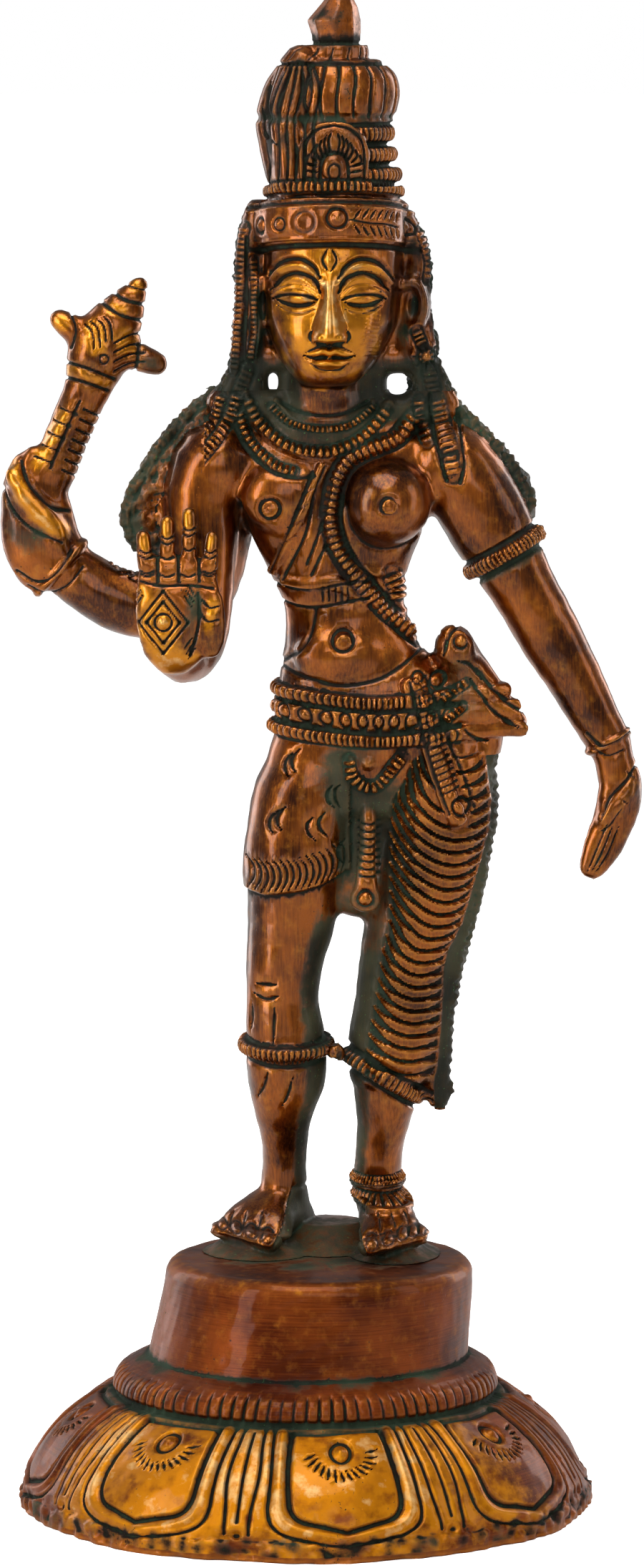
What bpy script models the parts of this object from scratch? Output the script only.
"""A four-armed temple figure, half man and half woman, standing on a round lotus stand.

Both are brass castings. The figure is drawn in units of a 250th of its own height, with x to the
viewer's right, y away from the viewer and z up from its soles. The stand has its own sizes in metres.
"""

import math

import bmesh
import bpy
import numpy as np
from mathutils import Matrix, Vector
from mathutils.bvhtree import BVHTree

# Driving dimensions, in metres
FIGURE_HEIGHT = 0.250
STAND_HEIGHT = 0.0497
LOTUS_RADIUS = 0.0575
LOTUS_HEIGHT = 0.0232
RIM_THICKNESS = 0.0035
BAND_RADIUS = 0.0384
BAND_HEIGHT = 0.0072
DRUM_BOTTOM_RADIUS = 0.0320
DRUM_TOP_RADIUS = 0.0306
DRUM_SHIFT = 0.0028
DRUM_EDGE_RADIUS = 0.0016
FIT_GAP = 0.0003
SKIRT_LIP = 0.0012
SKIRT_BULGE = 0.0022
SCALLOP_DEPTH = 0.0020
PETALS = 8
PETAL_TURN = math.radians(8.5)
PETAL_RELIEF = 0.0013

# The figure is drawn on a grid of this many units from sole to knob
GRID_HEIGHT = 250.0
UNIT = FIGURE_HEIGHT / GRID_HEIGHT
BODY_VOXEL = 1.1
CARVED_VOXEL = 0.62
FIGURE_TRIANGLES = 7000
STAND_TRIANGLES = 2900

FACING = Vector((0, 1, 0))


def clear_scene():
    for item in list(bpy.data.objects):
        bpy.data.objects.remove(item, do_unlink=True)


def smooth_rows(rows, steps):
    """Rows of numbers on a smooth curve through the given rows."""
    rows = np.array(rows, float)
    ends = np.vstack([2 * rows[0] - rows[1], rows, 2 * rows[-1] - rows[-2]])
    made = []
    for a, b, c, d in zip(ends, ends[1:], ends[2:], ends[3:]):
        bend = 2 * a - 5 * b + 4 * c - d
        twist = 3 * b - a - 3 * c + d
        for step in range(steps):
            t = step / steps
            made.append(0.5 * (2 * b + (c - a) * t + bend * t**2 + twist * t**3))
    made.append(rows[-1])
    return np.array(made)


def section(bm, centre, wide, deep, along, sides):
    """One oval ring of edges, centred, spanned by the wide and deep half-axes."""
    matrix = Matrix.Identity(4)
    for column, vector in enumerate((wide, deep, along)):
        for row in range(3):
            matrix[row][column] = vector[row]
    matrix.translation = centre
    made = bmesh.ops.create_circle(bm, cap_ends=False, radius=1.0, segments=sides, matrix=matrix)
    return list({edge for vert in made["verts"] for edge in vert.link_edges})


def skin(forms, sections, sides, closed=False):
    """Skins oval sections into one closed form. Each is a centre, two half-axes and a direction."""
    bm = bmesh.new()
    rings = [section(bm, *row, sides) for row in sections]
    for lower, upper in zip(rings, rings[1:]):
        bmesh.ops.bridge_loops(bm, edges=lower + upper)
    if closed:
        bmesh.ops.bridge_loops(bm, edges=rings[-1] + rings[0])
    else:
        bmesh.ops.contextual_create(bm, geom=rings[0])
        bmesh.ops.contextual_create(bm, geom=rings[-1])
    add_form(forms, bm)


def add_form(forms, bm):
    """Puts a finished form with the others. A small mesh of its own keeps the modelling quick."""
    mesh = bpy.data.meshes.new("form")
    bm.to_mesh(mesh)
    bm.free()
    forms.from_mesh(mesh)
    bpy.data.meshes.remove(mesh)


def domed(rows, tangents, start, end):
    """Adds the shrinking rings that round off a form's ends."""
    rows, tangents = list(rows), list(tangents)
    for at_end, wanted in ((0, start), (-1, end)):
        if not wanted:
            continue
        row, tangent = rows[at_end], tangents[at_end]
        reach = min(row[3], row[4]) * (1 if at_end else -1)
        for angle in (35, 62, 82):
            turned = math.radians(angle)
            extra = np.array(row)
            extra[:3] += np.array(tangent) * reach * math.sin(turned)
            extra[3:5] *= math.cos(turned)
            if at_end:
                rows.append(extra)
                tangents.append(tangent)
            else:
                rows.insert(0, extra)
                tangents.insert(0, tangent)
    return rows, tangents


def stack(forms, rows, sides=24, steps=3, lean=0.0, start=True, end=True):
    """A form of level sections: each row is x, y, z, half width and half depth. Lean raises its front."""
    rows = smooth_rows(rows, steps)
    up = np.sign(rows[-1][2] - rows[0][2]) * np.array((0, 0, 1.0))
    rows, tangents = domed(rows, [up] * len(rows), start, end)
    sections = [
        (Vector((x, y, z)), Vector((wide, 0, 0)), Vector((0, deep, -lean * deep)), Vector((0, 0, 1)))
        for x, y, z, wide, deep in rows
    ]
    skin(forms, sections, sides)


def limb(forms, rows, sides=16, steps=3, facing=FACING, start=True, end=True):
    """A form of sections square to its own path, in rows like those of a stack."""
    rows = smooth_rows(rows, steps)
    tangents = np.gradient(rows[:, :3], axis=0)
    tangents /= np.linalg.norm(tangents, axis=1)[:, None]
    rows, tangents = domed(rows, tangents, start, end)
    sections = []
    for row, tangent in zip(rows, tangents):
        along = Vector(tangent)
        deep = (facing - along * facing.dot(along)).normalized()
        wide = deep.cross(along).normalized()
        sections.append((Vector(row[:3]), wide * row[3], deep * row[4], along))
    skin(forms, sections, sides)


def blob(forms, centre, radii, tilt=0.0, detail=3):
    """An ellipsoid, tilted in the plane that faces the viewer."""
    matrix = Matrix.Translation(centre) @ Matrix.Rotation(math.radians(tilt), 4, "Y") @ Matrix.Diagonal(
        (*radii, 1),
    )
    bm = bmesh.new()
    bmesh.ops.create_icosphere(bm, subdivisions=detail, radius=1.0, matrix=matrix)
    add_form(forms, bm)


def slab(forms, outline, front, back):
    """A plate with an outline in x and z, from front to back."""
    bm = bmesh.new()
    verts = [bm.verts.new((x, front, z)) for x, z in outline]
    face = bm.faces.new(verts)
    made = bmesh.ops.extrude_face_region(bm, geom=[face])
    moved = [item for item in made["geom"] if isinstance(item, bmesh.types.BMVert)]
    bmesh.ops.translate(bm, vec=(0, back - front, 0), verts=moved)
    add_form(forms, bm)


def fused(forms, voxel, smoothing, name):
    """Melts overlapping closed forms into one skin and relaxes it."""
    bmesh.ops.recalc_face_normals(forms, faces=forms.faces)
    mesh = bpy.data.meshes.new(name)
    forms.to_mesh(mesh)
    forms.free()
    item = bpy.data.objects.new(name, mesh)
    bpy.context.scene.collection.objects.link(item)
    remesh = item.modifiers.new("skin", "REMESH")
    remesh.mode = "VOXEL"
    remesh.voxel_size = voxel
    if smoothing:
        relax = item.modifiers.new("relax", "SMOOTH")
        relax.factor = 0.5
        relax.iterations = smoothing
    made = evaluated(item)
    bpy.data.objects.remove(item)
    return made


def evaluated(item):
    bpy.context.view_layer.update()
    graph = bpy.context.evaluated_depsgraph_get()
    return bpy.data.meshes.new_from_object(item.evaluated_get(graph))


def points_of(mesh):
    points = np.empty(len(mesh.vertices) * 3)
    mesh.vertices.foreach_get("co", points)
    return points.reshape(-1, 3)


def normals_of(mesh):
    normals = np.empty(len(mesh.vertices) * 3)
    mesh.vertex_normals.foreach_get("vector", normals)
    return normals.reshape(-1, 3)


def move_points(mesh, points):
    mesh.vertices.foreach_set("co", points.ravel())
    mesh.update()


def tree_of(mesh):
    return BVHTree.FromPolygons([v.co for v in mesh.vertices], [tuple(p.vertices) for p in mesh.polygons])


def bump(distance, width):
    """One at no distance, falling smoothly to nothing at the width."""
    return np.clip(1 - (distance / width) ** 2, 0, 1) ** 2


def ramp(value, low, high):
    t = np.clip((value - low) / (high - low), 0, 1)
    return t * t * (3 - 2 * t)


def from_line(x, z, line):
    """Distance from each point to a line of x and z, seen from the front."""
    line = np.array(line, float)
    nearest = np.full(x.shape, 1e9)
    for (ax, az), (bx, bz) in zip(line, line[1:]):
        run = np.array((bx - ax, bz - az))
        share = np.clip(((x - ax) * run[0] + (z - az) * run[1]) / max(run @ run, 1e-9), 0, 1)
        nearest = np.minimum(nearest, np.hypot(x - ax - share * run[0], z - az - share * run[1]))
    return nearest


def draped(tree, line, lift, steps=6):
    """A smooth line of x and z, laid on the front of the body."""
    rows = []
    for x, z in smooth_rows(line, steps):
        hit = tree.ray_cast(Vector((x, -80, z)), FACING)
        if hit[0] is not None:
            rows.append((x, hit[0].y - lift, z))
    depths = np.array([row[1] for row in rows])
    padded = np.pad(depths, 2, mode="edge")
    depths = np.convolve(padded, np.ones(5) / 5, mode="valid")
    return [(row[0], depth, row[2]) for row, depth in zip(rows, depths)]


def cord_on(forms, tree, line, radius, lift=0.2, flat=1.0):
    rows = [(*point, radius, radius * flat) for point in draped(tree, line, lift)]
    limb(forms, rows, sides=10, steps=1)


def girdled(tree, centre, axis, lift, dip=0.0, count=40):
    """Points around a limb, found by looking out from its middle, square to its axis. Its front dips."""
    centre, axis = Vector(centre), Vector(axis).normalized()
    aside = axis.orthogonal().normalized()
    if abs(axis.z) > 0.7:
        aside = (Vector((1, 0, 0)) - axis * axis.x).normalized()
    over = axis.cross(aside)
    rows = []
    for step in range(count):
        turned = 2 * math.pi * step / count
        way = aside * math.cos(turned) + over * math.sin(turned)
        hit = tree.ray_cast(centre, way)
        if hit[0] is not None:
            point = hit[0] + way * lift
            point.z += dip * way.y
            rows.append(tuple(point))
    return rows


def hoop(forms, rows, half_height, half_depth, sides=10):
    """A closed band through the rows, with its depth pointing outwards from their middle."""
    rows = np.array(rows)
    middle = rows.mean(axis=0)
    sections = []
    for index, point in enumerate(rows):
        along = Vector(rows[(index + 1) % len(rows)] - rows[index - 1]).normalized()
        out = Vector(point - middle)
        out = (out - along * out.dot(along)).normalized()
        up = along.cross(out).normalized()
        sections.append((Vector(point), out * half_depth, up * half_height, along))
    skin(forms, sections, sides, closed=True)


def circle(centre, size, count, tilt=0.0, upright=False):
    """Points round a circle, level with its front raised by the tilt, or upright and facing the viewer."""
    x, y, z = centre
    rows = []
    for step in range(count):
        turned = 2 * math.pi * step / count
        aside = size * math.cos(turned)
        over = size * math.sin(turned)
        rows.append((x + aside, y, z + over) if upright else (x + aside, y + over, z - tilt * over))
    return rows


# The man's half is on the viewer's left, and the woman's half is on the viewer's right.
FACE_X = 4.7
HAIRLINE_Z = 201.0
CHIN_Z = 173.4
FACE_THIRD = (HAIRLINE_Z - CHIN_Z) / 3
EYE_Z = HAIRLINE_Z - FACE_THIRD
NOSE_Z = EYE_Z - FACE_THIRD
MOUTH_Z = NOSE_Z - 0.33 * FACE_THIRD
FOLD_PITCH = 2.9
FLUTE_COUNT = 30


def trunk(forms):
    stack(
        forms,
        [
            (14.0, 10.5, 95, 17, 10.5),
            (15.5, 10.5, 101, 21.6, 11.8),
            (15.3, 10.3, 107, 21.4, 11.6),
            (13.2, 10.0, 113, 18.6, 10.6),
            (10.6, 9.8, 118, 15.6, 9.6),
            (9.0, 9.6, 123, 13.2, 8.8),
            (8.2, 9.4, 128.5, 12.4, 8.2),
            (7.0, 9.2, 133.5, 12.8, 8.3),
            (6.3, 9.0, 138.5, 14.6, 8.8),
            (6.1, 9.0, 144, 17.2, 9.3),
            (6.2, 9.2, 150, 18.8, 9.4),
            (6.0, 9.4, 156, 20.6, 8.9),
            (5.6, 9.6, 161, 20.0, 7.8),
            (5.0, 9.4, 165, 15.0, 7.0),
            (4.2, 9.0, 169, 8.6, 6.6),
            (3.6, 8.4, 173, 7.1, 6.8),
            (3.8, 8.0, 179, 7.0, 6.8),
        ],
        sides=28,
    )
    blob(forms, (16.2, 1.6, 150.6), (8.7, 8.4, 8.7))
    blob(forms, (-3.6, 3.6, 151.5), (9.4, 5.0, 7.4))
    blob(forms, (-17.8, 9.4, 157.5), (8.2, 7.8, 8.4))
    blob(forms, (28.6, 9.4, 157.5), (8.6, 8.0, 8.6))
    blob(forms, (7.2, 3.2, 120), (9.6, 4.6, 6.4))
    blob(forms, (4.0, 17.5, 99.5), (9.4, 6.8, 9.4))
    blob(forms, (21.5, 17.5, 99.5), (9.8, 7.2, 9.8))


def bare_leg(forms):
    stack(
        forms,
        [
            (1.5, 10.5, 100, 9.0, 9.6),
            (0.2, 10.2, 93, 9.6, 9.8),
            (-0.9, 9.9, 87, 9.9, 9.7),
            (-1.7, 9.5, 79, 10.0, 9.4),
            (-2.5, 9.2, 71, 9.2, 8.9),
            (-3.2, 9.0, 63, 8.6, 8.4),
            (-4.3, 8.8, 56, 7.6, 7.8),
            (-4.6, 8.8, 50, 7.3, 7.6),
            (-4.1, 9.0, 44, 7.9, 7.8),
            (-3.8, 9.6, 38, 8.1, 8.0),
            (-3.8, 10.4, 32.5, 7.6, 7.8),
            (-4.3, 11.2, 27, 6.0, 6.8),
            (-4.2, 12.2, 22, 4.8, 5.6),
            (-4.3, 13.0, 16, 4.5, 5.0),
            (-4.2, 14.0, 10, 4.8, 5.6),
            (-3.4, 15.4, 5, 4.4, 5.4),
        ]
    )
    limb(
        forms,
        [
            (-1.6, 19.0, 4.2, 4.0, 3.2),
            (-4.6, 13.8, 6.6, 5.4, 5.6),
            (-8.2, 9.4, 6.0, 7.2, 4.7),
            (-10.4, 5.0, 4.4, 8.8, 3.0),
            (-11.2, 2.6, 3.4, 9.2, 1.9),
        ],
        facing=Vector((0, 0, 1)),
    )


def draped_leg(forms):
    stack(
        forms,
        [
            (25.0, 10.5, 104, 11.0, 10.2),
            (26.6, 10.3, 97, 11.4, 10.6),
            (26.6, 10.1, 90, 11.2, 10.4),
            (25.2, 9.9, 80, 10.8, 10.0),
            (23.2, 9.6, 71, 10.6, 9.6),
            (21.6, 9.4, 64, 10.2, 9.3),
            (20.0, 9.4, 57, 9.4, 9.0),
            (19.0, 9.6, 50, 9.2, 8.8),
            (18.0, 10.0, 43, 9.5, 9.0),
            (17.7, 10.3, 38, 9.3, 9.0),
            (17.6, 10.7, 33.5, 8.6, 8.4),
        ],
        end=False,
    )
    stack(
        forms,
        [
            (16.4, 11.0, 40, 7.0, 7.2),
            (16.1, 11.6, 30, 6.4, 6.8),
            (15.6, 12.2, 24, 5.3, 6.0),
            (14.8, 12.9, 18, 4.8, 5.2),
            (14.5, 13.4, 12, 5.0, 5.4),
            (15.2, 14.6, 5, 4.6, 5.4),
        ]
    )
    limb(
        forms,
        [
            (15.4, 19.6, 4.2, 4.0, 3.2),
            (15.8, 12.6, 6.4, 5.1, 5.4),
            (16.6, 6.0, 5.6, 6.2, 4.3),
            (17.4, -0.6, 4.0, 7.2, 2.6),
            (17.8, -3.4, 3.3, 7.6, 1.8),
        ],
        facing=Vector((0, 0, 1)),
    )
    limb(
        forms,
        [
            (34.9, 9.5, 100, 2.8, 4.2),
            (36.5, 9.5, 90, 2.6, 4.0),
            (34.9, 9.5, 79, 2.6, 3.8),
            (32.9, 9.5, 69, 2.6, 3.8),
            (29.8, 9.5, 58, 2.5, 3.8),
            (28.0, 9.5, 48, 2.5, 3.6),
            (27.0, 9.5, 38, 2.8, 3.6),
            (27.0, 9.5, 30.0, 2.6, 3.0),
        ]
    )
    limb(
        forms,
        [
            (11.6, 10.5, 98, 6.4, 7.0),
            (11.6, 10.0, 88, 6.0, 6.2),
            (11.2, 9.6, 78, 5.0, 5.4),
            (9.8, 9.4, 70.5, 3.8, 4.6),
        ]
    )


def toes(forms):
    """Five round toes on each foot, along a slanting line."""
    feet = (
        (Vector((-7.4, -3.2, 0)), Vector((-17.8, 8.6, 0)), Vector((-0.45, -0.9, 0))),
        (Vector((12.6, -8.8, 0)), Vector((23.4, 1.6, 0)), Vector((0.12, -1.0, 0))),
    )
    for first, last, way in feet:
        for share in (0, 0.25, 0.5, 0.75, 1):
            x, y, _ = first.lerp(last, share)
            size = 1.9 - 0.5 * share
            step = way * 2.2
            limb(
                forms,
                [
                    (x - step.x, y - step.y, 3.6, size, 1.5),
                    (x, y, 3.2, size, 1.4),
                    (x + step.x * 0.5, y + step.y * 0.5, 2.9, size * 0.9, 1.2),
                ],
                sides=10,
                steps=2,
                facing=Vector((0, 0, 1)),
            )


def foot_pads(forms):
    """The low mounds that the feet were cast on, and the one between them."""
    pads = (
        [(-8.2, 7.6, 0.2, 12.6, 13.6), (-8.2, 7.8, 1.2, 11.4, 12.4), (-8.2, 8.0, 2.4, 10.0, 10.8)],
        [(17.2, 5.6, 0.2, 10.6, 16.4), (17.2, 5.8, 1.2, 9.6, 15.2), (17.2, 6.0, 2.4, 8.4, 13.8)],
        [(4.5, 12.0, 0.2, 11.0, 13.0), (4.5, 13.0, 1.4, 8.6, 10.4), (4.5, 14.0, 3.0, 6.4, 7.6)],
    )
    for rows in pads:
        stack(forms, rows, start=False, end=False)


def front_arms(forms):
    limb(
        forms,
        [
            (-18.6, 9.2, 158, 7.8, 7.4),
            (-20.6, 8.8, 150, 7.4, 7.0),
            (-20.4, 8.2, 140, 6.8, 6.6),
            (-20.8, 7.2, 130, 6.4, 6.2),
            (-22.0, 4.6, 122, 6.0, 5.8),
            (-24.2, -1.0, 120.4, 5.6, 5.2),
            (-25.2, -7.4, 122.6, 5.2, 4.6),
        ]
    )
    limb(
        forms,
        [
            (-25.6, -9.6, 119.8, 4.6, 2.6),
            (-25.6, -11.0, 122.5, 6.8, 3.2),
            (-25.4, -11.8, 128, 8.0, 3.2),
            (-25.2, -12.2, 133.6, 8.4, 2.9),
            (-25.0, -12.2, 139.5, 8.0, 2.3),
        ]
    )
    limb(
        forms,
        [(-18.6, -12.0, 123, 2.4, 2.2), (-17.6, -13.2, 128.5, 2.3, 2.0), (-17.8, -13.6, 133.2, 1.9, 1.7)],
        sides=10,
    )
    limb(
        forms,
        [
            (29.0, 9.2, 158, 8.4, 7.8),
            (33.8, 9.2, 150.6, 8.8, 7.8),
            (38.2, 9.2, 142.6, 8.3, 7.5),
            (42.2, 9.2, 135, 6.9, 6.6),
            (46.5, 9.2, 127.4, 6.6, 6.2),
            (51.5, 9.2, 118.8, 6.0, 5.8),
            (56.0, 9.2, 110.4, 5.3, 5.2),
            (60.0, 9.0, 103.2, 4.7, 4.6),
            (61.7, 8.8, 99.2, 4.1, 4.0),
        ]
    )
    limb(
        forms,
        [
            (61.6, 8.6, 98.6, 4.1, 3.8),
            (62.9, 8.2, 93.8, 4.5, 3.2),
            (62.3, 7.7, 89.0, 4.6, 2.9),
            (60.8, 7.2, 84.8, 4.3, 2.6),
            (58.8, 6.8, 80.4, 3.9, 2.2),
            (56.8, 6.4, 76.6, 2.8, 1.8),
        ],
        sides=14,
    )
    limb(
        forms,
        [(65.0, 6.2, 93.4, 1.8, 1.8), (62.4, 4.8, 90.2, 1.8, 1.7), (59.2, 4.6, 87.2, 1.5, 1.4)],
        sides=10,
    )


def fingers(forms):
    """The four fingers of the open hand, held up and a little apart."""
    for x, lean, tip in (
        (-31.0, -0.8, 144.8),
        (-26.9, -0.2, 147.6),
        (-22.9, 0.2, 149.2),
        (-18.9, 0.6, 144.8),
    ):
        rows = [
            (x, -12.2, 137, 1.6, 1.7),
            (x + lean / 2, -12.6, (137 + tip) / 2, 1.6, 1.6),
            (x + lean, -12.0, tip, 1.4, 1.4),
        ]
        limb(forms, rows, sides=10)


def rear_arm(forms):
    limb(
        forms,
        [
            (-16.0, 15.0, 150, 6.6, 5.6),
            (-18.0, 15.4, 140, 6.6, 5.6),
            (-21.0, 14.8, 131.6, 6.6, 6.0),
            (-28.0, 13.8, 128.6, 6.6, 6.3),
            (-36.0, 13.2, 129.8, 6.5, 6.2),
            (-43.0, 12.8, 133.4, 6.1, 5.7),
            (-48.8, 12.4, 138.0, 5.6, 5.0),
        ],
        facing=Vector((0, 1, 0)),
    )
    limb(
        forms,
        [
            (-50.0, 12.2, 137.2, 7.6, 4.8),
            (-52.8, 12.0, 142.0, 7.9, 4.8),
            (-53.6, 12.0, 148.0, 7.4, 4.4),
            (-54.4, 12.0, 153.6, 6.2, 3.8),
            (-54.2, 12.0, 157.4, 4.8, 3.2),
        ]
    )
    limb(
        forms,
        [
            (-49.0, 9.4, 140, 2.4, 2.2),
            (-50.2, 7.6, 145.5, 2.6, 2.2),
            (-54.6, 7.6, 150.6, 2.3, 2.0),
            (-58.2, 8.6, 155.6, 1.9, 1.8),
        ],
        sides=10,
    )
    limb(
        forms,
        [(-58.2, 11.4, 148, 2.4, 2.4), (-57.4, 10.6, 154, 2.1, 2.2), (-54.2, 10.4, 159.6, 1.9, 2.0)],
        sides=10,
    )
    limb(
        forms,
        [(-53.0, 10.0, 155, 2.2, 2.2), (-49.4, 9.6, 162.4, 2.1, 2.1), (-46.2, 9.8, 169, 1.9, 1.9)],
        sides=10,
    )


def axe(forms):
    limb(
        forms,
        [
            (-50.6, 12.2, 155, 4.6, 3.6),
            (-47.8, 12.2, 162.4, 4.6, 3.6),
            (-44.4, 12.2, 170, 4.6, 3.6),
            (-42.2, 12.2, 175.4, 5.2, 4.2),
        ],
    )
    limb(
        forms,
        [
            (-42.4, 12.2, 175.6, 5.6, 4.8),
            (-40.6, 12.2, 180.8, 6.5, 5.4),
            (-37.8, 12.2, 185.6, 5.6, 4.8),
            (-35.4, 12.2, 189.4, 3.9, 3.4),
            (-32.9, 12.2, 193.4, 1.8, 1.7),
        ],
    )
    limb(
        forms,
        [(-42.0, 12.2, 182.0, 3.4, 3.4), (-46.4, 12.2, 184.6, 2.9, 3.0), (-48.8, 12.2, 186.2, 2.3, 2.4)],
    )
    limb(
        forms,
        [(-38.0, 12.2, 181.0, 3.4, 3.4), (-32.2, 12.2, 178.4, 2.9, 2.8), (-29.6, 12.2, 177.6, 2.5, 2.5)],
    )


def head(forms):
    stack(
        forms,
        [
            (4.2, 0.6, 175.2, 3.6, 3.8),
            (4.4, 2.4, 176.6, 7.0, 7.2),
            (4.6, 4.0, 179.4, 9.8, 10.0),
            (4.9, 5.2, 183.6, 12.0, 12.0),
            (5.1, 5.8, 188.0, 13.0, 12.8),
            (5.3, 6.2, 192.5, 13.2, 13.2),
            (5.5, 6.4, 197.0, 13.5, 13.3),
            (5.6, 6.6, 202.0, 13.6, 13.1),
            (5.4, 6.8, 208.0, 13.2, 12.6),
            (5.7, 7.0, 213.0, 12.0, 11.4),
        ],
        sides=28,
    )
    stack(
        forms,
        [
            (6.0, 7.0, 210, 11.8, 11.4),
            (6.1, 7.0, 216, 11.0, 10.8),
            (6.1, 7.0, 221, 10.4, 10.4),
            (6.7, 7.0, 226, 11.0, 10.6),
            (7.0, 7.0, 231, 11.7, 11.2),
            (6.8, 7.0, 235, 11.0, 10.4),
            (6.2, 7.0, 237.8, 8.4, 8.0),
        ],
        end=False,
    )
    limb(
        forms,
        [
            (-3.8, 6.6, 235.6, 2.2, 3.0),
            (-6.2, 6.6, 231.0, 2.6, 3.4),
            (-7.2, 6.6, 225.0, 2.7, 3.4),
            (-6.6, 6.6, 219.6, 2.4, 3.0),
            (-5.4, 6.6, 214, 2.2, 3.0),
        ],
    )
    for x, z, wide in ((6.0, 223.2, 10.4), (6.1, 219.2, 10.8), (6.3, 215.2, 11.5)):
        hoop(forms, circle((x, 7, z), wide, 36), 1.5, 1.3)


def crown_trim(forms):
    stack(
        forms,
        [
            (5.4, 6.4, 200.6, 14.2, 13.8),
            (5.0, 6.4, 203.2, 15.2, 14.8),
            (4.9, 6.4, 207.0, 15.1, 14.7),
            (5.2, 6.6, 209.4, 14.2, 13.6),
        ],
        sides=32,
        lean=0.12,
        start=False,
        end=False,
    )
    hoop(forms, circle((5.6, 6.8, 211.8), 12.5, 44, tilt=0.1), 1.5, 1.3)
    arch = [(x, z) for x, _, z in circle((5.6, 0, 219.2), 6.8, 24, upright=True)[:13]]
    slab(forms, [*arch, (-1.0, 213.6), (12.2, 213.6)], -5.2, 2.0)
    blob(forms, (5.4, -5.0, 216.6), (2.4, 1.6, 3.0))
    stack(
        forms,
        [(5.9, 7.0, 237.2, 7.2, 7.2), (5.9, 7.0, 239.0, 7.5, 7.5), (5.9, 7.0, 240.8, 7.1, 7.1)],
        start=False,
        end=False,
    )
    stack(
        forms,
        [
            (6.1, 7.0, 240.0, 4.4, 4.4),
            (5.9, 7.0, 243.4, 5.2, 5.2),
            (5.8, 7.0, 246.6, 4.6, 4.6),
            (6.1, 7.0, 249.0, 3.0, 3.0),
            (6.1, 7.0, 249.9, 2.3, 2.3),
        ],
        sides=8,
        start=False,
        end=False,
    )


def side_hair(forms):
    """The locks, ears and earrings beside the face, down to the shoulders."""
    limb(
        forms,
        [
            (-9.4, 7.6, 208, 2.6, 3.6),
            (-11.2, 7.6, 202, 2.8, 3.6),
            (-11.6, 7.6, 196, 2.7, 3.4),
            (-10.8, 7.6, 188, 2.8, 3.0),
            (-11.6, 7.8, 180, 3.0, 3.0),
            (-13.2, 8.4, 174.5, 3.2, 3.2),
            (-15.4, 9.4, 169.0, 4.6, 3.6),
        ],
    )
    limb(
        forms,
        [
            (18.4, 7.6, 208, 2.4, 3.6),
            (20.8, 7.6, 202.6, 2.9, 3.6),
            (22.6, 7.6, 197.0, 3.1, 3.4),
            (21.6, 7.6, 189, 3.6, 3.0),
            (22.2, 7.6, 181.5, 4.0, 3.0),
            (24.4, 8.4, 175, 3.4, 3.2),
            (26.4, 9.4, 169.2, 4.8, 3.6),
        ],
    )
    limb(
        forms,
        [
            (19.4, 4.6, 193.6, 1.2, 1.6),
            (21.8, 4.0, 194.0, 1.1, 1.4),
            (23.4, 4.2, 190.2, 1.1, 1.4),
            (22.6, 4.4, 186.0, 1.1, 1.4),
            (20.6, 4.6, 184.6, 1.1, 1.4),
        ],
        sides=8,
    )
    blob(forms, (23.8, 5.0, 179.4), (2.7, 1.8, 2.7))
    limb(
        forms,
        [
            (-12.6, 6.4, 198, 1.2, 1.4),
            (-13.0, 6.0, 190, 1.2, 1.4),
            (-13.6, 6.0, 182, 1.3, 1.5),
            (-14.2, 6.4, 177.4, 1.6, 1.6),
        ],
        sides=8,
    )
    limb(
        forms,
        [
            (-9.2, 4.6, 194.6, 1.1, 1.4),
            (-10.2, 4.0, 190, 1.1, 1.4),
            (-9.6, 4.4, 184.6, 1.1, 1.3),
            (-10.6, 4.6, 179.6, 1.3, 1.4),
        ],
        sides=8,
    )
    stack(
        forms,
        [
            (5.4, 15.0, 203, 12.0, 5.6),
            (5.3, 16.0, 194, 11.2, 4.8),
            (5.1, 15.6, 186, 8.0, 3.8),
            (4.9, 14.6, 178, 5.8, 3.0),
            (4.9, 15.4, 170, 8.4, 3.4),
            (5.2, 16.4, 160, 11.6, 3.0),
            (5.4, 16.6, 152, 9.6, 2.4),
        ],
    )
    slab(
        forms,
        [
            (-10, 166), (-18.6, 173.2), (-25.2, 167.8), (-30.8, 161.0), (-35.8, 152.4),
            (-37.2, 147.4), (-35.8, 141.6), (-29, 136.6), (-22, 138), (-18, 150),
        ],
        10.4,
        15.4,
    )
    slab(
        forms,
        [
            (18, 165), (22, 170), (27.0, 172.6), (33.8, 167.2), (39.6, 161.4), (44.6, 155),
            (46.0, 150.4), (45.4, 144.6), (38, 146), (30, 156),
        ],
        9.4,
        14.4,
    )
    for x, z, way in (
        (-12.4, 178.9, 7.4),
        (-13.0, 169.8, 8.4),
        (22.6, 179.0, -11.6),
        (24.6, 169.8, -11.6),
    ):
        limb(forms, [(x, 8.6, z, 3.0, 2.9), (x + way, 8.6, z, 3.0, 2.9)])


def hip_sash(forms):
    """The knotted sash on the woman's hip, with the end that stands out from it."""
    blob(forms, (29.8, 3.6, 121.6), (4.2, 3.6, 5.0), tilt=-20)
    blob(forms, (30.8, 0.8, 123.6), (2.1, 1.4, 2.1))
    limb(
        forms,
        [
            (29.4, 6.0, 121.4, 4.2, 5.0),
            (33.0, 7.0, 115.4, 4.6, 4.6),
            (37.2, 7.0, 110.0, 4.2, 3.2),
            (42.0, 7.0, 106.4, 2.6, 2.2),
        ],
    )
    limb(
        forms,
        [
            (31.0, 8.0, 118, 4.4, 6.0),
            (34.4, 8.0, 110, 4.4, 5.4),
            (36.4, 8.4, 104, 3.2, 4.4),
            (36.6, 8.8, 99, 2.4, 4.0),
        ],
    )


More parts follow.
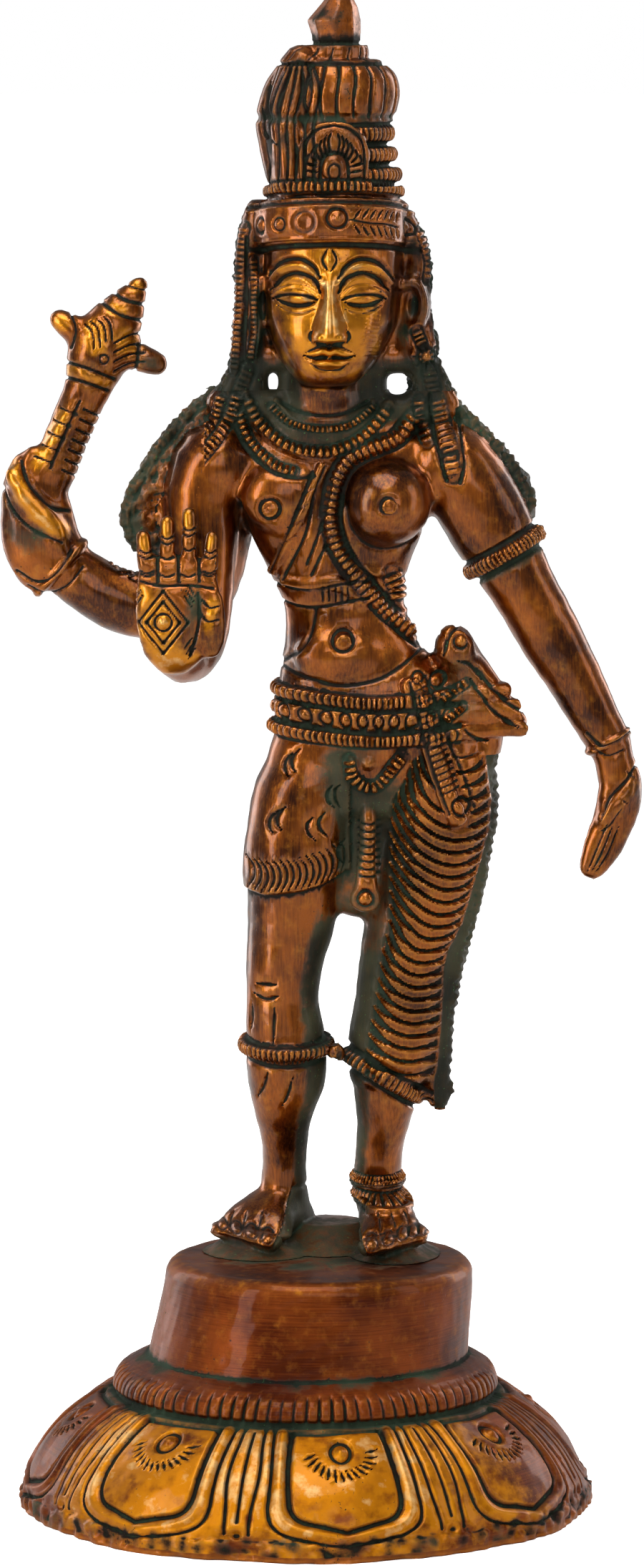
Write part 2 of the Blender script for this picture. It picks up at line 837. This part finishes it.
def jewellery(forms, tree):
    """Cords, belts and bands, laid on the body that the forms above make."""
    cord_on(
        forms,
        tree,
        [
            (-12.0, 171.5), (-9.6, 166.2), (-4.6, 161.8), (1.4, 160.0), (7.2, 160.8),
            (12.4, 164.0), (16.4, 169.6),
        ],
        1.25,
    )
    cord_on(forms, tree, [(-5.6, 170.4), (-2.4, 166.6), (3.4, 164.8), (9.6, 166.4), (13.4, 170.0)], 0.8)
    cord_on(forms, tree, [(-13.6, 169.0), (-11.4, 163.0), (-7.2, 158.2), (-4.4, 156.6)], 0.9)
    cord_on(
        forms,
        tree,
        [
            (21.6, 167.4), (18.6, 163.4), (13.6, 161.4), (9.0, 159.4), (6.4, 155.6), (5.2, 151.0),
            (4.9, 146.4), (6.8, 140.0), (11.0, 134.8), (15.0, 130.0), (20.0, 125.6), (25.6, 122.6),
        ],
        1.35,
    )
    cord_on(forms, tree, [(3.4, 157.8), (-0.4, 149.4), (-4.4, 141.2), (-7.2, 135.6)], 1.1, flat=0.6)
    cord_on(forms, tree, [(3.6, 147.6), (6.0, 141.6), (11.4, 137.2), (15.8, 136.4)], 0.9, flat=0.6)
    cord_on(forms, tree, [(-4.4, 135.0), (1.4, 134.2), (6.4, 134.6), (12.4, 131.0)], 1.5, flat=0.55)
    for centre_z, half_height, half_depth, lift in (
        (113.2, 1.6, 1.3, 0.4),
        (109.4, 2.3, 1.0, 0.3),
        (105.6, 1.6, 1.3, 0.4),
    ):
        centre = (14.2 if centre_z > 112 else 15.0, 10, centre_z)
        hoop(forms, girdled(tree, centre, (0, 0, 1), lift, dip=2.3), half_height, half_depth)
    cord_on(
        forms,
        tree,
        [(20.8, 114.6), (23.4, 107.0), (26.0, 99.0), (28.4, 92.0), (30.2, 87.6)],
        2.1,
        lift=0.7,
        flat=0.7,
    )
    cord_on(
        forms,
        tree,
        [(9.2, 99.4), (10.2, 95.6), (12.6, 94.0), (15.8, 96.0), (18.8, 99.2)],
        1.2,
        lift=0.4,
    )
    limb(
        forms,
        [
            (12.4, 3.0, 91, 1.5, 1.6),
            (12.4, 1.0, 86, 1.7, 1.7),
            (12.2, 0.4, 79, 1.9, 1.7),
            (11.9, 0.4, 73, 2.6, 1.9),
        ],
    )
    blob(forms, (11.8, 0.2, 71.8), (3.2, 2.0, 2.8))
    hoop(forms, girdled(tree, (40.2, 9.2, 140.6), (0.5, 0, -0.86), 0.3), 1.7, 1.2)
    hoop(forms, girdled(tree, (60.2, 9.0, 102.2), (0.46, 0, -0.88), 0.1), 0.8, 0.8)
    hoop(forms, girdled(tree, (-47.2, 12.6, 138.6), (-0.72, 0, 0.68), 0.1), 0.9, 0.8)
    hoop(forms, girdled(tree, (-3.9, 9.2, 41.2), (0, 0.1, 1), 0.5, dip=1.6), 1.7, 1.3)
    hoop(forms, girdled(tree, (17.0, 11.0, 33.6), (0.5, 0.06, 0.84), 0.4), 1.7, 1.2)
    blob(forms, (6.2, 4.6, 40.2), (1.7, 2.0, 2.2))
    for z in (9.4, 12.8):
        hoop(forms, girdled(tree, (14.6, 13.2, z), (0, -0.1, 1), 0.2), 0.9, 0.9)
    for x, z, lift, size in ((-7.1, 149.6, 0.1, 1.5), (16.6, 150.3, 0.0, 1.5), (7.6, 122.8, -0.3, 1.4)):
        point = draped(tree, [(x, z), (x + 0.1, z)], lift, steps=1)[0]
        hoop(forms, circle((x, point[1], z), size, 16, upright=True), 0.5, 0.5, sides=8)


def carve_face(points):
    """Brows, eyes, nose and mouth, pressed forward from or back into the egg of the head."""
    x, y, z = points.T
    across = np.abs(x - FACE_X)
    on_face = (y < 0.5) & (z > CHIN_Z - 1) & (z < HAIRLINE_Z + 1) & (across < 13)
    forward = np.zeros(len(points))
    socket = bump(np.hypot((across - 6.4) / 6.2, (z - EYE_Z - 0.8) / 4.2), 1.0)
    forward -= 1.3 * socket
    lid = bump(np.hypot((across - 6.6) / 4.4, (z - EYE_Z + 0.2) / 2.1), 1.0)
    forward += 1.2 * lid
    slit = [(2.9, EYE_Z - 1.0), (6.6, EYE_Z - 1.5), (10.6, EYE_Z - 0.2)]
    forward -= 0.5 * bump(from_line(across, z, slit), 0.9)
    crease = [(2.6, EYE_Z - 0.2), (6.0, EYE_Z + 2.6), (11.4, EYE_Z + 0.4)]
    forward += 0.5 * bump(from_line(across, z, crease), 0.9)
    brow = smooth_rows(
        [(1.9, EYE_Z + 3.6), (4.4, EYE_Z + 5.8), (8.0, EYE_Z + 6.2), (12.4, EYE_Z + 2.6)],
        3,
    )
    forward += 0.7 * bump(from_line(across, z, brow), 1.2)
    width = 1.5 + 1.9 * ramp(z, EYE_Z + 1, NOSE_Z + 1)
    height = 1.3 + 1.9 * ramp(z, EYE_Z + 3, NOSE_Z + 1.2)
    ends = ramp(z, NOSE_Z - 0.6, NOSE_Z + 0.5) * ramp(z, EYE_Z + 5.5, EYE_Z + 1.5)
    forward += height * ends * bump(across, width * 1.25)
    forward += 0.8 * bump(np.hypot((across - 2.4) / 1.5, (z - NOSE_Z - 1.0) / 1.5), 1.0)
    for level, bulge, half in ((MOUTH_Z + 1.0, 0.8, 4.6), (MOUTH_Z - 1.1, 0.95, 3.9)):
        forward += bulge * bump(np.hypot(across / half, (z - level) / 1.3), 1.0)
    forward -= 0.5 * bump(from_line(across, z, [(0, MOUTH_Z - 0.1), (4.4, MOUTH_Z + 0.4)]), 0.7)
    forward += 0.8 * bump(np.hypot(across / 4.2, (z - CHIN_Z - 3.0) / 3.0), 1.0)
    forward += 0.5 * bump(from_line(across, z, [(0, EYE_Z + 5.4), (0, EYE_Z + 8.2)]), 1.3)
    points[:, 1] -= np.where(on_face, forward, 0)


def carve_cloth(points, normals):
    """The pleats of the long skirt, the hem of the short one and the flutes of the bun."""
    x, y, z = points.T
    outward = np.zeros(len(points))
    left = np.interp(z, [30, 40, 50, 58, 66, 75, 90, 102], [8.5, 8.0, 10.5, 11.2, 12.0, 15.0, 16.8, 20.0])
    right = np.interp(
        z,
        [30, 40, 50, 58, 70, 80, 92, 102],
        [25.5, 26.0, 27.0, 28.0, 33.0, 35.0, 36.5, 34.0],
    )
    share = np.clip((x - left) / (right - left), 0, 1)
    sag = np.interp(z, [40, 50, 88], [3.4, 4.6, 12.0]) * (1 - (1 - share / 0.72) ** 2)
    fold = (z + sag) / FOLD_PITCH
    crest = 0.5 + 0.5 * np.cos(2 * math.pi * fold)
    inside = ramp(x, left - 0.5, left + 1.2) * ramp(z, 34, 37) * ramp(z, 101, 97) * ramp(
        right + 3 - x,
        0,
        1,
    )
    inside *= np.where(y < 9, 1.0, ramp(x, 19, 23))
    sash = from_line(x, z, [(21.0, 114), (30.6, 87.6)])
    inside *= np.where(y < 6, ramp(sash, 2.2, 3.0), 1.0)
    outward += inside * (1.25 * crest**1.5 - 0.6)
    hem = np.interp(x, [-12, -6, 3, 8], [72.6, 70.4, 74.0, 78.0])
    around = (x < 9) & (y < 24) & (z < 100)
    outward += np.where(around, 0.75 * ramp(z, hem - 0.4, hem + 0.4) * ramp(z, 99, 94), 0)
    turned = np.arctan2(y - 7.0, x - 6.3)
    flutes = 0.5 + 0.5 * np.cos(FLUTE_COUNT * turned)
    on_bun = ramp(z, 226, 228) * ramp(z, 237.5, 236) * (np.abs(normals[:, 2]) < 0.9)
    outward -= 0.9 * (1 - flutes) * on_bun
    strands = 0.5 + 0.5 * np.cos(22 * turned + 0.5 * z)
    on_left = ramp(-x, 1.0, 3.0) * ramp(z, 214, 216) * ramp(z, 227, 225)
    outward -= 0.7 * (1 - strands) * on_left
    points += normals * outward[:, None]


def lightened(mesh, triangles, name):
    """Fewer, larger faces where the surface is plain."""
    item = bpy.data.objects.new(name, mesh)
    bpy.context.scene.collection.objects.link(item)
    split = item.modifiers.new("triangles", "TRIANGULATE")
    split.quad_method = "FIXED"
    count = 2 * len(mesh.polygons)
    thin = item.modifiers.new("fewer faces", "DECIMATE")
    thin.ratio = triangles / count
    made = evaluated(item)
    bpy.data.objects.remove(item)
    return made


def largest_body(mesh):
    """Drops the specks that the skin leaves inside folds."""
    bm = bmesh.new()
    bm.from_mesh(mesh)
    bm.verts.ensure_lookup_table()
    seen, groups = set(), []
    for vert in bm.verts:
        if vert in seen:
            continue
        group, queue = [], [vert]
        seen.add(vert)
        while queue:
            here = queue.pop()
            group.append(here)
            for edge in here.link_edges:
                other = edge.other_vert(here)
                if other not in seen:
                    seen.add(other)
                    queue.append(other)
        groups.append(group)
    groups.sort(key=len)
    spare = [vert for group in groups[:-1] for vert in group]
    bmesh.ops.delete(bm, geom=spare, context="VERTS")
    bm.to_mesh(mesh)
    bm.free()


def finish_brass(item, colour, roughness):
    material = bpy.data.materials.new(item.name + " brass")
    material.use_nodes = True
    shader = material.node_tree.nodes["Principled BSDF"]
    shader.inputs["Base Color"].default_value = (*colour, 1)
    shader.inputs["Metallic"].default_value = 1.0
    shader.inputs["Roughness"].default_value = roughness
    item.data.materials.append(material)


def figure():
    forms = bmesh.new()
    for form in (trunk, bare_leg, draped_leg, front_arms, rear_arm, axe, head, side_hair, hip_sash):
        form(forms)
    body = fused(forms, BODY_VOXEL, 3, "figure body")
    forms = bmesh.new()
    forms.from_mesh(body)
    for form in (crown_trim, toes, foot_pads, fingers):
        form(forms)
    jewellery(forms, tree_of(body))
    mesh = fused(forms, CARVED_VOXEL, 1, "figure")
    points, normals = points_of(mesh), normals_of(mesh)
    carve_cloth(points, normals)
    carve_face(points)
    points[:, 2] = np.clip(points[:, 2], 0, GRID_HEIGHT)
    move_points(mesh, points)
    mesh = lightened(mesh, FIGURE_TRIANGLES, "figure")
    largest_body(mesh)
    points = points_of(mesh)
    points[:, 2] = np.clip(points[:, 2], 0, GRID_HEIGHT)
    move_points(mesh, points * UNIT + np.array((0, 0, STAND_HEIGHT + FIT_GAP)))
    item = bpy.data.objects.new("figure", mesh)
    bpy.context.scene.collection.objects.link(item)
    finish_brass(item, (0.30, 0.115, 0.035), 0.36)
    return item


def stand_profile():
    """Radius and height from the rim of the underside up to the middle of the drum's top."""
    band_bottom = LOTUS_HEIGHT
    band_top = LOTUS_HEIGHT + BAND_HEIGHT
    drum_edge = STAND_HEIGHT - DRUM_EDGE_RADIUS
    rows = [(LOTUS_RADIUS * 0.995, 0.0)]
    rows += [(LOTUS_RADIUS, RIM_THICKNESS * share) for share in (0.3, 1.0)]
    for step in range(1, 12):
        share = step / 12
        bulge = math.sin(math.pi * share) * SKIRT_BULGE
        radius = LOTUS_RADIUS + (BAND_RADIUS + SKIRT_LIP - LOTUS_RADIUS) * share**0.92 + bulge
        rows.append((radius, RIM_THICKNESS + (band_bottom - RIM_THICKNESS) * share + bulge * 0.8))
    for share in (0, 0.25, 0.62, 0.88, 1):
        radius = DRUM_BOTTOM_RADIUS + (BAND_RADIUS - DRUM_BOTTOM_RADIUS) * (1 - share**3)
        rows.append((radius, band_bottom + BAND_HEIGHT * share))
    for share in (0.33, 0.66, 1.0):
        radius = DRUM_BOTTOM_RADIUS + (DRUM_TOP_RADIUS - DRUM_BOTTOM_RADIUS) * share
        rows.append((radius, band_top + (drum_edge - band_top) * share))
    for angle in (30, 60, 90):
        turned = math.radians(angle)
        radius = DRUM_TOP_RADIUS - DRUM_EDGE_RADIUS * (1 - math.cos(turned))
        rows.append((radius, drum_edge + DRUM_EDGE_RADIUS * math.sin(turned)))
    rows += [(DRUM_TOP_RADIUS * 0.6, STAND_HEIGHT), (0.0, STAND_HEIGHT)]
    return rows


def petal_relief(angle, share):
    """Height of the carving on the lotus skirt: share runs from the rim, 0, to the band, 1."""
    step = 2 * math.pi / PETALS
    local = (angle - PETAL_TURN + math.pi / 2 + step / 2) % step - step / 2
    off = np.abs(local) / (step / 2)
    width = 0.52 * (1 - 0.25 * (2 * share - 1) ** 2) * ramp(share, -0.35, 0.30)
    rim = width + 0.24
    panel = ramp(width - off, -0.08, 0.08) * ramp(share, 0.04, 0.20) * ramp(share, 0.98, 0.84)
    border = bump(off - rim, 0.19) * ramp(share, 1.0, 0.85)
    between = 0.45 * ramp(off, rim + 0.10, rim + 0.24)
    return panel * 0.9 + border * 0.8 + between - 0.5


def lotus_stand():
    rows = stand_profile()
    bm = bmesh.new()
    turn = Matrix.Rotation(PETAL_TURN - math.pi / 2, 3, "Z")
    verts = [bm.verts.new(turn @ Vector((radius, 0, height))) for radius, height in rows]
    foot = bm.verts.new((0, 0, 0))
    edges = [bm.edges.new(pair) for pair in zip([foot] + verts, verts)]
    bmesh.ops.spin(
        bm,
        geom=[foot] + verts + edges,
        cent=(0, 0, 0),
        axis=(0, 0, 1),
        angle=2 * math.pi,
        steps=24 * PETALS,
        use_merge=True,
    )
    bmesh.ops.remove_doubles(bm, verts=bm.verts, dist=1e-6)
    bmesh.ops.recalc_face_normals(bm, faces=bm.faces)
    mesh = bpy.data.meshes.new("lotus_stand")
    bm.to_mesh(mesh)
    bm.free()
    points, normals = points_of(mesh), normals_of(mesh)
    radius = np.hypot(points[:, 0], points[:, 1])
    angle = np.arctan2(points[:, 1], points[:, 0])
    height = points[:, 2]
    share = np.clip((height - RIM_THICKNESS) / (LOTUS_HEIGHT - RIM_THICKNESS), 0, 1)
    on_skirt = (height > 0.4 * RIM_THICKNESS) & (height < LOTUS_HEIGHT - 1e-5) & (radius > BAND_RADIUS)
    outward = np.where(on_skirt, PETAL_RELIEF * petal_relief(angle, share), 0)
    points += normals * outward[:, None]
    tip = 0.5 + 0.5 * np.cos(PETALS * (angle - PETAL_TURN + math.pi / 2))
    at_rim = (radius > LOTUS_RADIUS * 0.9) & (height < RIM_THICKNESS * 1.5)
    drawn_in = np.where(at_rim, SCALLOP_DEPTH / 2 * (1 - tip), 0)
    points[:, :2] *= (1 - drawn_in / LOTUS_RADIUS)[:, None]
    points[:, 0] += DRUM_SHIFT * ramp(height, LOTUS_HEIGHT, STAND_HEIGHT)
    points[:, 2] = np.clip(points[:, 2], 0, STAND_HEIGHT)
    move_points(mesh, points)
    mesh = lightened(mesh, STAND_TRIANGLES, "lotus_stand")
    item = bpy.data.objects.new("lotus_stand", mesh)
    bpy.context.scene.collection.objects.link(item)
    finish_brass(item, (0.36, 0.15, 0.04), 0.38)
    return item


clear_scene()
lotus_stand()
figure()
